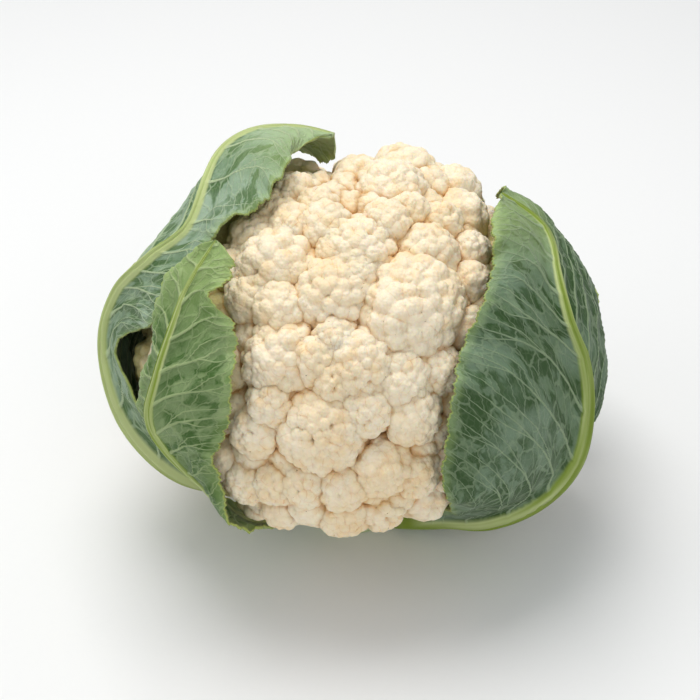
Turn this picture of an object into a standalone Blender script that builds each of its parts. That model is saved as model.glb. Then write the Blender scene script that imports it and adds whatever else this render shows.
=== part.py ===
"""A trimmed cauliflower that stands on its cut stem.

Metres, +Z up. The origin is the middle of the stem's cut face and the front looks towards -Y.
Azimuths are degrees round the stem from the front, positive towards +X. Elevations are degrees above
the level of the head's centre. Lengths in the tables are millimetres.
"""
import math
import random

import bmesh
import bpy
import numpy as np
from mathutils import Vector
from mathutils.bvhtree import BVHTree

MM = 0.001
SEED = 11

# Head: an upright ellipsoid, flatter underneath, that lobes and florets swell from
HEAD_HEIGHT = 74.0
HEAD_SIDE = 85.0
HEAD_TOP = 84.0
HEAD_UNDER = 52.0
# azimuth, elevation, distance of the middle, radius
LOBES = ((-6, -6, 47, 40), (-27, -15, 46, 36), (143, 58, 50, 42))
CREVICE = 5.0  # how far below the ellipsoid and lobes the gaps between florets may go
CURD_POINTS = 4900
UNDERSIDE = -35  # below this elevation every third point is enough
SEAT_HEIGHT = 26.3  # the flat underside that rests over the stem

# Florets that the front shows: azimuth, elevation, radius
FRONT_FLORETS = (
    (-8, 15, 19), (-23, 33, 14), (-11, 35, 9), (3, 34, 13), (16, 29, 11), (18, 19, 10.5),
    (5, 22, 9), (-5, 30, 8), (-23, 22, 9), (-27, 12, 9), (9, 4, 11), (18, 1, 9),
    (-2, -1, 9), (-12, -1, 8), (-20, -3, 8), (-2, -13, 9), (9, -13, 9), (-21, -17, 8),
    (-30, -6, 9), (27, 47, 24), (-29, 46, 11), (-7, 53, 15), (-43, 57, 15), (-41, 46, 9),
    (4, 67, 16), (50, 60, 12), (40, 74, 10), (70, 72, 8), (77, 63, 9), (120, 76, 14),
    (-25, 74, 11), (-52, 69, 9), (-55, 79, 8), (71, 52, 8), (57, 46, 8), (4, 59, 8),
    (-5, 41, 8), (29, 29, 9),
)
HIDDEN_TRIES = 900
HIDDEN_RADII = (9.0, 15.0)
LOWEST_FLORET = -24.0
SPACING = 0.80  # of two florets' radii together, between their middles
FLORET_RISE = (2.5, 0.22)  # how far a floret stands out, as a length and a share of its radius
LUMP_SHARE = 0.40  # a lump's radius in its floret's radius
LUMPS = 13

# Stem
STEM_CUT_RADIUS = 26.0
STEM_RADIUS = 26.6
STEM_SHOULDER = 24.0
STEM_TOP = 26.0
STEM_SIDES = 48

# Leaves
STATIONS = 25
BLADE = 1.2
TOOTH = 1.4
RUFFLE = 31  # radians of the waved edge along a leaf
SWELL_SCALE = 6.75  # makes the fullest place of a blade's swelling 1
RIB_HEIGHT = (6.5, 4.2, 1.0)
RIB_HALF_WIDTH = (6.0, 4.5, 1.4)
RIDGE_SHOULDER = 0.8  # the ridge's height half way down its side, as a share
RIDGE_FOOT = 0.3
CLEARANCE = 1.5
CLEAR_REACH = 3.8  # degrees round each point of the curd that a leaf keeps clear

# Each row is azimuth, distance from the stem's axis, height
LEFT_BACK_MIDRIB = (
    (-76, 27.3, 11), (-75, 50, 19), (-75, 75, 32), (-76, 93, 59), (-84, 99, 87), (-88, 93, 109),
    (-82, 79, 130), (-80, 63, 145), (-97, 56, 158), (-130, 57, 160), (-150, 53, 157), (-166, 44, 155),
)
LEFT_BACK_FRONT = (
    (-62, 27.3, 12), (-66, 50, 21), (-64, 71, 39), (-60, 89, 74), (-61, 93, 93), (-60, 88, 113),
    (-58, 78, 134), (-63, 60, 151), (-60, 45, 159), (-65, 34, 165), (-90, 23, 167), (-148, 34, 162),
)
LEFT_BACK_REAR = (
    (-90, 27.3, 12), (-84, 50, 21), (-88, 72, 40), (-100, 88, 62), (-114, 92, 84), (-126, 86, 104),
    (-125, 79, 122), (-128, 76, 132), (-136, 74, 138), (-152, 72, 140), (-166, 67, 143), (-176, 54, 148),
)
LEFT_FRONT_MIDRIB = (
    (-42, 27.3, 9), (-41, 50, 19), (-40, 70, 34), (-42, 85, 59), (-46, 98, 80), (-48, 103, 96),
    (-48, 98, 113), (-49, 89, 129), (-51, 78, 143), (-53, 63, 156),
)
LEFT_FRONT_FRONT = (
    (-28, 27.3, 10), (-32, 52, 21), (-30, 73, 34), (-31, 92, 54), (-33, 95, 80), (-31, 94, 94),
    (-29.5, 89, 113), (-33, 79, 129), (-42, 71, 141), (-50, 61, 154),
)
LEFT_FRONT_REAR = (
    (-56, 27.3, 10), (-50, 50, 21), (-46, 72, 40), (-47, 86, 63), (-53, 96, 82), (-55, 99, 95),
    (-53, 97, 110), (-56, 90, 125), (-61, 78, 143), (-57, 67, 153),
)
RIGHT_FRONT_MIDRIB = (
    (52, 27.3, 10), (55, 48, 17), (58, 68, 22), (61, 87, 37), (63, 99, 57), (64, 102, 80),
    (65, 99, 102), (66, 91, 120), (74, 83, 132), (92, 76, 138), (99, 61, 148),
)
RIGHT_FRONT_FRONT = (
    (38, 27.3, 11), (43, 48, 20), (36, 68, 36), (23, 92, 72), (23, 93, 93), (26, 86, 114),
    (33, 79, 127), (43, 72, 138), (56, 67, 145), (66, 59, 150), (88, 56, 152),
)
RIGHT_FRONT_REAR = (
    (66, 27.3, 11), (67, 48, 20), (72, 70, 30), (84, 95, 46), (96, 106, 63), (106, 106, 80),
    (115, 101, 96), (122, 94, 109), (125, 85, 121), (122, 75, 132), (108, 63, 146),
)
# Leaves of the far side: azimuth, distance from the head's centre, elevation of the tip, degrees each way
RIGHT_BACK = (130, 113, 6, 26)
BACK_RIGHT = (172, 99, 18, 30)
BACK_LEFT = (-146, 107, 10, 24)
FAR_STALK = ((27.3, 10), (50, 17), (73, 28))
FAR_LOWEST = -23
FAR_WIDTH = (1, 0.27, 0.35, 0.7, 0.93, 1, 1, 0.84, 0.35)  # shares, the first of the stalk's own width
STALK_WIDTH = 14
FAR_EDGE_RISE = 5

LEAF_GREEN = (0.155, 0.245, 0.135, 1)
CURD_CREAM = (0.86, 0.76, 0.56, 1)
STEM_GREEN = (0.52, 0.58, 0.30, 1)

HEAD_CENTRE = np.array((0.0, 0.0, HEAD_HEIGHT))
GOLDEN_ANGLE = math.pi * (3 - math.sqrt(5))


def material(name, colour, roughness):
    made = bpy.data.materials.new(name)
    made.use_nodes = True
    shader = made.node_tree.nodes["Principled BSDF"]
    shader.inputs["Base Color"].default_value = colour
    shader.inputs["Roughness"].default_value = roughness
    shader.inputs["Metallic"].default_value = 0.0
    return made


def add_object(name, points, faces, made_of):
    mesh = bpy.data.meshes.new(name)
    mesh.from_pydata([tuple(p) for p in np.asarray(points) * MM], [], faces)
    mesh.materials.append(made_of)
    mesh.validate()
    made = bpy.data.objects.new(name, mesh)
    bpy.context.collection.objects.link(made)
    return made


def heading(azimuth, elevation):
    """Unit vectors for angles in degrees."""
    azimuth = np.radians(azimuth)
    elevation = np.radians(elevation)
    flat = np.cos(elevation)
    return np.stack((flat * np.sin(azimuth), -flat * np.cos(azimuth), np.sin(elevation)), -1)


def ball_reach(directions, middle, radius):
    """How far out a ball reaches along each direction from the head's centre, 0 where it is missed."""
    along = directions @ middle
    room = radius * radius - middle @ middle + along * along
    return np.where((room > 0) & (along > 0), along + np.sqrt(np.maximum(room, 0)), 0)


# Curd

def head_reach(directions):
    """The head without its florets: an ellipsoid with its lobes."""
    upright = np.where(directions[:, 2] > 0, HEAD_TOP, HEAD_UNDER)
    level = 1 - directions[:, 2] ** 2
    reach = 1 / np.sqrt(level / HEAD_SIDE ** 2 + directions[:, 2] ** 2 / upright ** 2)
    for azimuth, elevation, distance, radius in LOBES:
        reach = np.maximum(reach, ball_reach(directions, heading(azimuth, elevation) * distance, radius))
    return reach


def floret_list():
    """Direction and radius of every floret: the front's own, then a seeded draw that fills the rest."""
    chosen = [(heading(azimuth, elevation), radius) for azimuth, elevation, radius in FRONT_FLORETS]
    draw = random.Random(SEED)
    for k in range(HIDDEN_TRIES):
        rise = 1 - 2 * (k + 0.5) / HIDDEN_TRIES
        elevation = math.degrees(math.asin(rise))
        azimuth = math.degrees(k * GOLDEN_ANGLE * 7)
        radius = draw.uniform(*HIDDEN_RADII)
        if elevation < LOWEST_FLORET:
            continue
        way = heading(azimuth, elevation)
        clear = all(
            math.acos(min(1, float(way @ other))) * HEAD_SIDE > SPACING * (radius + size)
            for other, size in chosen
        )
        if clear:
            chosen.append((way, radius))
    return chosen


def turned_to(direction):
    """Two unit vectors across a direction."""
    side = np.cross(direction, (0.3, 0.5, 0.81))
    side /= np.linalg.norm(side)
    return side, np.cross(direction, side)


def curd_balls():
    """Middles and radii of the balls that florets and the lumps on them are made of."""
    middles, radii = [], []
    for way, radius in floret_list():
        out = head_reach(way[None])[0] + FLORET_RISE[0] + FLORET_RISE[1] * radius - radius
        middle = way * out
        middles.append(middle)
        radii.append(radius)
        side, other = turned_to(way)
        for k in range(LUMPS):
            tilt = math.acos(1 - 0.85 * (k + 0.5) / LUMPS)
            turn = k * GOLDEN_ANGLE
            lean = math.cos(turn) * side + math.sin(turn) * other
            lump_way = math.cos(tilt) * way + math.sin(tilt) * lean
            middles.append(middle + lump_way * radius * (1.06 - LUMP_SHARE))
            radii.append(radius * LUMP_SHARE)
    return middles, radii


def even_directions(count):
    k = np.arange(count) + 0.5
    rise = 1 - 2 * k / count
    flat = np.sqrt(1 - rise ** 2)
    turn = k * GOLDEN_ANGLE
    return np.stack((flat * np.cos(turn), flat * np.sin(turn), rise), -1)


def leaf_ceiling(directions, leaves):
    """The distance out at which leaves begin, looked for in a small ring round each direction."""
    ceiling = np.full(len(directions), 1000.0)
    trees = []
    for leaf in leaves:
        rings = [list(face.vertices) for face in leaf.data.polygons]
        trees.append(BVHTree.FromPolygons([v.co / MM for v in leaf.data.vertices], rings))
    start = Vector(HEAD_CENTRE)
    for i, direction in enumerate(directions):
        side, other = turned_to(direction)
        ways = [direction]
        for share in (0.5, 1.0):
            lean = math.tan(math.radians(CLEAR_REACH * share))
            for k in range(8):
                turn = math.radians(45 * k)
                ways.append(direction + lean * (math.cos(turn) * side + math.sin(turn) * other))
        for tree in trees:
            for way in ways:
                hit = tree.ray_cast(start, Vector(way).normalized())
                if hit[0] is not None:
                    ceiling[i] = min(ceiling[i], hit[3])
    return ceiling


def build_curd(leaves, made_of):
    directions = even_directions(CURD_POINTS)
    kept = (directions[:, 2] > math.sin(math.radians(UNDERSIDE))) | (np.arange(CURD_POINTS) % 3 == 0)
    directions = directions[kept]
    above = np.clip((directions[:, 2] - math.sin(math.radians(UNDERSIDE))) * 5, 0, 1)
    reach = head_reach(directions) - CREVICE * above
    for middle, radius in zip(*curd_balls()):
        reach = np.maximum(reach, ball_reach(directions, middle, radius))
    reach = np.minimum(reach, leaf_ceiling(directions, leaves) - CLEARANCE)
    lowest = (HEAD_HEIGHT - SEAT_HEIGHT) / np.maximum(-directions[:, 2], 0.001)
    reach = np.where(directions[:, 2] < 0, np.minimum(reach, lowest), reach)

    shell = bmesh.new()
    for direction in directions:
        shell.verts.new(direction)
    bmesh.ops.convex_hull(shell, input=shell.verts)
    shell.verts.ensure_lookup_table()
    shell.verts.index_update()
    faces = [[v.index for v in face.verts] for face in shell.faces]
    shell.free()
    return add_object("curd", HEAD_CENTRE + directions * reach[:, None], faces, made_of)


# Stem

def build_stem(made_of):
    """A turned stump: a flat cut foot, a waist where leaves join and a flat top under the curd."""
    outline = (
        (STEM_CUT_RADIUS, 0), (STEM_RADIUS, 1.0), (STEM_RADIUS, 6), (STEM_RADIUS, 13),
        (STEM_RADIUS - 0.8, 18), (STEM_SHOULDER, 24), (STEM_SHOULDER - 1, STEM_TOP),
    )
    points = []
    for radius, height in outline:
        for k in range(STEM_SIDES):
            turn = 2 * math.pi * k / STEM_SIDES
            points.append((radius * math.sin(turn), -radius * math.cos(turn), height))
    faces = []
    for ring in range(len(outline) - 1):
        low = ring * STEM_SIDES
        high = low + STEM_SIDES
        for k in range(STEM_SIDES):
            following = (k + 1) % STEM_SIDES
            faces.append((low + k, low + following, high + following, high + k))
    faces.append(tuple(reversed(range(STEM_SIDES))))
    faces.append(tuple(range(len(points) - STEM_SIDES, len(points))))
    return add_object("stem", points, faces, made_of)


# Leaves

def along(rows, count):
    """A smooth line through rows of azimuth, axis distance and height, as points in space."""
    rows = np.array(rows, float)
    ends = np.vstack((2 * rows[0] - rows[1], rows, 2 * rows[-1] - rows[-2]))
    place = np.linspace(0, len(rows) - 1, count)
    k = np.minimum(place.astype(int), len(rows) - 2)
    t = (place - k)[:, None]
    a, b, c, d = ends[k], ends[k + 1], ends[k + 2], ends[k + 3]
    line = b + 0.5 * t * (c - a + t * (2 * a - 5 * b + 4 * c - d + t * (3 * (b - c) + d - a)))
    azimuth = np.radians(line[:, 0])
    return np.stack((line[:, 1] * np.sin(azimuth), -line[:, 1] * np.cos(azimuth), line[:, 2]), -1)


def tapered(values, share):
    """A width or height that runs from base to middle to tip."""
    return np.interp(share, (0, 0.45, 1), values)


def between(start, end, share):
    """Turns from one point to another round the head's centre, the radius changing evenly."""
    from_middle, to_middle = start - HEAD_CENTRE, end - HEAD_CENTRE
    near, far = np.linalg.norm(from_middle), np.linalg.norm(to_middle)
    first, last = from_middle / near, to_middle / far
    angle = math.acos(max(-1, min(1, float(first @ last))))
    turned = (math.sin((1 - share) * angle) * first + math.sin(share * angle) * last) / math.sin(angle)
    return turned, near + (far - near) * share


def build_leaf(name, midrib, front, rear, made_of, wave=2.0, swell=2.0, notches=()):
    """A blade of even thickness with a ridge along its back, split alike on both faces.

    notches are (side, place along the leaf, half length, depth as a share of the half width).
    """
    middle_line = along(midrib, STATIONS)
    edges = {-1: along(front, STATIONS), 1: along(rear, STATIONS)}
    outer, inner = [], []
    for i in range(STATIONS):
        share = i / (STATIONS - 1)
        rib_height = tapered(RIB_HEIGHT, share)
        rib_half = tapered(RIB_HALF_WIDTH, share)
        for side in (-1, 1):
            edge = edges[side][i]
            width = np.linalg.norm(edge - middle_line[i])
            reach = 1 + (TOOTH * (i % 2) / width if 0.15 < share < 1 else 0)
            for notch_side, place, half_length, depth in notches:
                if notch_side == side:
                    reach *= 1 - depth * max(0, 1 - abs(share - place) / half_length)
            rib = min(rib_half / width, 0.6)
            steps = [rib * 0.5, rib] + [rib + (reach - rib) * k / 3 for k in (1, 2, 3)]
            ridge = [rib_height * RIDGE_SHOULDER, RIDGE_FOOT, 0, 0, 0]
            row = []
            for step, raised in zip(steps, ridge):
                way, distance = between(middle_line[i], edge, step)
                distance += wave * step ** 3 * math.sin(share * RUFFLE + side) * min(1, 3 * share)
                distance += swell * SWELL_SCALE * step ** 2 * max(0, 1 - step) * min(1, 2 * share)
                row.append((way, distance, raised))
            if side < 0:
                rows = row[::-1]
                spine = middle_line[i] - HEAD_CENTRE
                distance = np.linalg.norm(spine)
                rows.append((spine / distance, distance, rib_height))
            else:
                rows += row
        for way, distance, raised in rows:
            outer.append(HEAD_CENTRE + way * (distance + BLADE / 2 + raised))
            inner.append(HEAD_CENTRE + way * (distance - BLADE / 2))
    columns = len(rows)
    under = len(outer)
    faces = []

    def quad(a, b, c, d):
        faces.append((a, b, c))
        faces.append((a, c, d))

    for i in range(STATIONS - 1):
        for j in range(columns - 1):
            a = i * columns + j
            b, c, d = a + 1, a + columns + 1, a + columns
            quad(a, b, c, d)
            faces.append((under + c, under + b, under + a))
            faces.append((under + d, under + c, under + a))
    rim = list(range(columns))
    rim += [i * columns + columns - 1 for i in range(1, STATIONS)]
    rim += [(STATIONS - 1) * columns + j for j in range(columns - 2, -1, -1)]
    rim += [i * columns for i in range(STATIONS - 2, 0, -1)]
    for k, a in enumerate(rim):
        b = rim[(k + 1) % len(rim)]
        quad(a, under + a, under + b, b)
    if front[0][0] > rear[0][0]:
        faces = [face[::-1] for face in faces]
    return add_object(name, outer + inner, faces, made_of)


def far_leaf(name, azimuth, distance, tip, spread, made_of):
    """A leaf of the far side: a stalk, then a blade that keeps its distance from the head's centre."""
    line = list(FAR_STALK)
    blade_rows = len(FAR_WIDTH) - len(FAR_STALK)
    for k in range(blade_rows):
        elevation = math.radians(FAR_LOWEST + (tip - FAR_LOWEST) * k / (blade_rows - 1))
        line.append((distance * math.cos(elevation), HEAD_HEIGHT + distance * math.sin(elevation)))
    midrib, front, rear = [], [], []
    for k, (out, height) in enumerate(line):
        wide = FAR_WIDTH[k] * (STALK_WIDTH if k == 0 else spread)
        rise = 1 if k == 0 else FAR_EDGE_RISE * FAR_WIDTH[k]
        midrib.append((azimuth, out, height))
        front.append((azimuth - wide, out, height + rise))
        rear.append((azimuth + wide, out, height + rise))
    return build_leaf(name, midrib, front, rear, made_of)


def main():
    for old in list(bpy.data.objects):
        bpy.data.objects.remove(old, do_unlink=True)
    curd_cream = material("curd_cream", CURD_CREAM, 0.55)
    stem_green = material("stem_green", STEM_GREEN, 0.5)
    leaf_green = material("leaf_green", LEAF_GREEN, 0.5)
    leaves = [
        build_leaf("leaf_left_back", LEFT_BACK_MIDRIB, LEFT_BACK_FRONT, LEFT_BACK_REAR, leaf_green,
                   swell=0.5, notches=((-1, 0.40, 0.08, 0.5),)),
        build_leaf("leaf_left_front", LEFT_FRONT_MIDRIB, LEFT_FRONT_FRONT, LEFT_FRONT_REAR, leaf_green,
                   wave=1.5, notches=((-1, 0.87, 0.05, 0.35),)),
        build_leaf("leaf_right_front", RIGHT_FRONT_MIDRIB, RIGHT_FRONT_FRONT, RIGHT_FRONT_REAR, leaf_green,
                   swell=2.5),
        far_leaf("leaf_right_back", *RIGHT_BACK, leaf_green),
        far_leaf("leaf_back_right", *BACK_RIGHT, leaf_green),
        far_leaf("leaf_back_left", *BACK_LEFT, leaf_green),
    ]
    build_stem(stem_green)
    build_curd(leaves, curd_cream)


main()
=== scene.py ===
"""The finished look of the cauliflower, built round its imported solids.

Lengths in the tables are millimetres. Azimuths are degrees round the stem from the front, positive
towards +X. Elevations are degrees above the level of the head's centre.
"""

import math
import random

import bpy
import numpy as np
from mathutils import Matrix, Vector
from mathutils.bvhtree import BVHTree


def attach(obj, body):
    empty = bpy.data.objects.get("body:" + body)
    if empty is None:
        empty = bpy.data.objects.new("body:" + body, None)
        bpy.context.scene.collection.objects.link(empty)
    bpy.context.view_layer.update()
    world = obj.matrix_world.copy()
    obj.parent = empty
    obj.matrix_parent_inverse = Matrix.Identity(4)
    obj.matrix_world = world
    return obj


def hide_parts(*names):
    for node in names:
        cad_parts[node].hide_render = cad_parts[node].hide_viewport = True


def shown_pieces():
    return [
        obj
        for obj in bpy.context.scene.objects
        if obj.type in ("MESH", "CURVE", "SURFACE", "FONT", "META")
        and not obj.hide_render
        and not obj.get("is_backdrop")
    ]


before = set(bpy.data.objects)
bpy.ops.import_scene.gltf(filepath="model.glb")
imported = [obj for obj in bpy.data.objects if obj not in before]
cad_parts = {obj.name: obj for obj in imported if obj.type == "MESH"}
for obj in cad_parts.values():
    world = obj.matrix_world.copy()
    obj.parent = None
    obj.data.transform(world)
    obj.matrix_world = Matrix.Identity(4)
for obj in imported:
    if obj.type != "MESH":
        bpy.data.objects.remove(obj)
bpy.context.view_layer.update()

MM = 0.001
SEED = 11
GOLDEN_ANGLE = math.pi * (3 - math.sqrt(5))

# Head: an upright ellipsoid, flatter underneath, that lobes and florets swell from
HEAD_HEIGHT = 74.0
HEAD_SIDE = 85.0
HEAD_TOP = 84.0
HEAD_UNDER = 52.0
HEAD_CENTRE = np.array((0.0, 0.0, HEAD_HEIGHT))
# azimuth, elevation, distance of the middle, radius
LOBES = ((-6, -6, 47, 40), (-27, -15, 46, 36), (143, 58, 50, 42))
SEAT_HEIGHT = 26.6
NECK_FOOT = 25.8  # where the curd's own stalk runs into the stem

# Florets that the front shows: azimuth, elevation, radius
FRONT_FLORETS = (
    (-8, 15, 19), (-23, 33, 14), (-11, 35, 9), (3, 34, 13), (16, 29, 11), (18, 19, 10.5),
    (5, 22, 9), (-5, 30, 8), (-23, 22, 9), (-27, 12, 9), (9, 4, 11), (18, 1, 9),
    (-2, -1, 9), (-12, -1, 8), (-20, -3, 8), (-2, -13, 9), (9, -13, 9), (-21, -17, 8),
    (-30, -6, 9), (27, 47, 24), (-29, 46, 11), (-7, 53, 15), (-43, 57, 17), (-43, 46, 10),
    (4, 67, 16), (50, 60, 12), (40, 74, 10), (70, 72, 8), (77, 63, 9), (120, 76, 14),
    (-25, 74, 11), (-52, 69, 11), (-55, 79, 8), (71, 52, 8), (57, 46, 8), (4, 59, 8),
    (-5, 41, 8), (29, 29, 9), (-66, 60, 11), (-78, 68, 11), (-100, 74, 10), (-60, 51, 10),
)
HIDDEN_TRIES = 900
HIDDEN_RADII = (9.0, 15.0)
LOWEST_FLORET = -22.0
LOWER_FLORETS = range(1, 19)  # numbers in the list of those that merge into the big lower one
LOWER_SWELL = 1.14
SPACING = 0.80  # of two florets' radii together, between their middles
FLORET_RISE = (2.5, 0.22)  # how far a floret stands out, as a length and a share of its radius

# A floret is a dome of lumps, and each lump is a dome of buds
POINT_SPACING = 0.56  # of the mesh
HIDDEN_POINT_SPACING = 1.0  # on florets that the front doesn't show
DOME_SPREAD = math.radians(112)  # how far round from its apex a floret is a dome
DOME_SHARE = math.radians(150)  # of the ball it is shaped from
LUMP_AT_APEX = (0.7, 0.23)  # a lump's radius, as a length and a share of its floret's
LUMP_AT_RIM = (0.9, 0.33)
LUMP_SPACING = 1.58
BUD_SHARE = 0.40
BUD_SIZES = (1.15, 2.9)
BUD_SPACING = 1.45
BUD_COVER = 1.1  # how far round a lump its buds reach, as 1 less the cosine
PACKED = 0.866  # area that each of a close-packed set takes, as a share of its spacing squared
LUMP_SINK = 0.57  # how far a lump's middle lies under the dome, in its own radii
DOME_FLOOR = 0.80  # the lowest that a crease goes, as a share of the floret's radius
BRANCH = (0.86, 1.6)  # rim and length of the branch under a dome, as shares of the floret's radius
LEAN = 0.08  # how far a floret tips from straight out
LEAF_CLEAR = 1.2  # kept between the florets and a leaf over them
PRESS = 0.35  # share of what is too high that sinks the floret, and the rest is flattened
CURD_PIECE_LIMIT = 90000  # faces
# Florets whose lumps are finer than their size calls for: number in the list and factor
FINE_FLORETS = {0: 0.53, 3: 0.66, 19: 0.60, 24: 0.70, 21: 0.75}
FINE_FRONT = 0.80  # for the front's other florets
FILLER_TRIES = 900
FILLER_RADIUS = 8.0
BARE_DEPTH = 6.5  # below the head's surface, which calls for a filler
# The body behind the florets
HEART_CUTS = 56
HEART_DEPTH = 12
HEART_BRANCH = 3.2  # relief of its branches underneath
HEART_CLEAR = 2.5
# Where the head is hollow: azimuth, elevation, degrees across, depth
HOLLOWS = ((-158, 62, 24, 9.0), (-4, -34, 30, 4.5), (151, 59, 15, 3.5))

# Leaves: each row is azimuth, distance from the stem's axis, height
LEFT_BACK_MIDRIB = (
    (-76, 27.3, 11), (-75, 50, 19), (-75, 75, 32), (-76, 93, 59), (-84, 99, 87), (-88, 93, 109),
    (-82, 79, 130), (-80, 63, 145), (-97, 56, 158), (-130, 57, 160), (-152, 54, 158), (-172, 47, 155),
)
LEFT_BACK_FRONT = (
    (-62, 27.3, 12), (-66, 50, 21), (-64, 71, 39), (-60, 89, 74), (-61, 93, 93), (-60, 88, 113),
    (-58, 78, 134), (-63, 60, 151), (-60, 45, 159), (-65, 34, 165), (-90, 23, 167), (-148, 34, 162),
)
LEFT_BACK_REAR = (
    (-90, 27.3, 12), (-84, 50, 21), (-88, 72, 40), (-100, 88, 62), (-114, 92, 84), (-126, 86, 104),
    (-125, 79, 122), (-128, 76, 132), (-136, 74, 138), (-152, 72, 140), (-166, 65, 138), (-175, 58, 137),
)
LEFT_FRONT_MIDRIB = (
    (-42, 27.3, 9), (-41, 50, 19), (-40, 70, 34), (-42, 85, 59), (-46, 98, 80), (-48, 103, 96),
    (-48, 98, 113), (-49, 89, 129), (-51, 78, 143), (-53, 63, 156),
)
LEFT_FRONT_FRONT = (
    (-28, 27.3, 10), (-32, 52, 21), (-30, 73, 34), (-31, 92, 54), (-33, 95, 80), (-31, 94, 94),
    (-29.5, 89, 113), (-33, 79, 129), (-40, 71, 143), (-44, 62, 154),
)
LEFT_FRONT_REAR = (
    (-56, 27.3, 10), (-50, 50, 21), (-46, 72, 40), (-47, 86, 63), (-53, 96, 82), (-55, 99, 95),
    (-53, 97, 110), (-56, 90, 125), (-61, 78, 143), (-57, 67, 153),
)
RIGHT_FRONT_MIDRIB = (
    (52, 27.3, 10), (55, 48, 17), (58, 68, 22), (61, 87, 37), (63, 99, 57), (64, 102, 80),
    (65, 99, 102), (66, 91, 120), (74, 83, 132), (92, 76, 138), (99, 61, 148),
)
RIGHT_FRONT_FRONT = (
    (38, 27.3, 11), (43, 48, 20), (36, 68, 36), (23, 92, 72), (23, 93, 93), (26, 86, 114),
    (33, 79, 127), (43, 72, 138), (56, 67, 145), (66, 59, 150), (88, 56, 152),
)
RIGHT_FRONT_REAR = (
    (66, 27.3, 11), (67, 48, 20), (72, 70, 30), (84, 95, 46), (96, 106, 63), (106, 106, 80),
    (115, 101, 96), (122, 94, 109), (125, 85, 121), (122, 75, 132), (108, 63, 146),
)
# Leaves of the far side: azimuth, distance from the head's centre, elevation of the tip, degrees
# from midrib to edge
RIGHT_BACK = (130, 113, 6, 26)
BACK_RIGHT = (172, 99, 18, 30)
BACK_LEFT = (-146, 107, 10, 24)
FAR_STALK = ((27.3, 10), (50, 17), (73, 28))
FAR_LOWEST = -23
FAR_WIDTH = (1, 0.27, 0.35, 0.7, 0.93, 1, 1, 0.84, 0.35)
STALK_WIDTH = 14
FAR_EDGE_RISE = 5

BLADE = 1.0  # thickness
OFF_FLOOR = 0.3
MARGIN_WIDTH = 5.0
RUFFLE = 31  # waves of the edge from base to tip, in radians
SWELL_SCALE = 27 / 4  # brings the peak of t * t * (1 - t) to 1
TIP_TAPER = 0.97  # how nearly the tip narrows to a point
RIB_HEIGHT = (6.3, 3.6, 0.9)  # at the base, at 0.45 of the length and at the tip, for a rib as below
RIB_STANDARD = 8  # half width at the base
VEIN_START = 0.13  # share of the leaf's length where side veins begin
VEIN_CLIMB = 0.80  # how far a side vein runs towards the tip for each length it runs to the edge
VEIN_CURVE = 0.64  # below 1, a side vein leaves the midrib steeply and levels out
VEIN_STAGGER = 0.45  # of a spacing, between the veins of the two halves
# Forks of a side vein: sideways reach in vein spacings, how much later than the first it begins,
# its length
VEIN_FORKS = ((0.34, 0.0, 0.30), (-0.31, 0.24, 0.34))
FORK_WAVE = 2.3  # varies where a vein forks, from one vein number to the next
QUILT_DEPTH = 0.95  # of the blade between two veins
QUILT_WIDTH = 3.4
CRINKLE = (0.6, 15)  # height and size
FRILL = 0.8  # height of the small waves along the edge

STEM_RADIUS = 26.0
STEM_HEIGHT = 26.0
STEM_RINGS = 12  # of faces in each end
STEM_RING_WIDTH = 2.05
STEM_CUTS = 22  # round its side
DISH = 0.25  # hollow of the cut face
# Outline of the stem: heights and radii
STEM_HEIGHTS = (0, 1.0, 6, 13, 18, 24, 26)
STEM_RADII = (25.6, 26.4, 26.4, 26.3, 25.6, 23.8, 22.8)


def heading(azimuth, elevation):
    """Unit vectors for angles in degrees."""
    azimuth = np.radians(azimuth)
    elevation = np.radians(elevation)
    flat = np.cos(elevation)
    return np.stack((flat * np.sin(azimuth), -flat * np.cos(azimuth), np.sin(elevation)), -1)


def unit(vectors):
    return vectors / np.maximum(np.linalg.norm(vectors, axis=-1, keepdims=True), 1e-9)


def axes_on(up, aside):
    """Three directions square to each other: the last is up, and the first is square to aside too."""
    side = unit(np.cross(up, aside))
    return np.stack((side, np.cross(up, side), up))


def smooth(low, high, value):
    """0 below low, 1 above high, smooth between."""
    t = np.clip((value - low) / (high - low), 0, 1)
    return t * t * (3 - 2 * t)


def drift(places, size, seed):
    """Gentle unevenness between -1 and 1, a sum of seeded waves, about the given size across."""
    draw = np.random.default_rng(seed)
    total = np.zeros(len(places))
    for octave in range(3):
        for _ in range(3):
            way = draw.normal(size=3)
            way /= np.linalg.norm(way)
            pitch = size / (1 + octave * 0.7) * draw.uniform(0.8, 1.25)
            total += np.sin(places @ way * (2 * math.pi / pitch) + draw.uniform(0, 6.3)) / (1 + octave)
    return np.clip(total / 3.2, -1, 1)


# Making meshes

def deselect():
    if bpy.context.object and bpy.context.object.mode != "OBJECT":
        bpy.ops.object.mode_set(mode="OBJECT")
    bpy.ops.object.select_all(action="DESELECT")


def reshape(piece, points):
    piece.data.vertices.foreach_set("co", (np.asarray(points) * MM).ravel())
    piece.data.update()


def points_of(piece):
    found = np.empty(len(piece.data.vertices) * 3)
    piece.data.vertices.foreach_get("co", found)
    return found.reshape(-1, 3)


def select_only(piece):
    deselect()
    piece.select_set(True)
    bpy.context.view_layer.objects.active = piece


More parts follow.
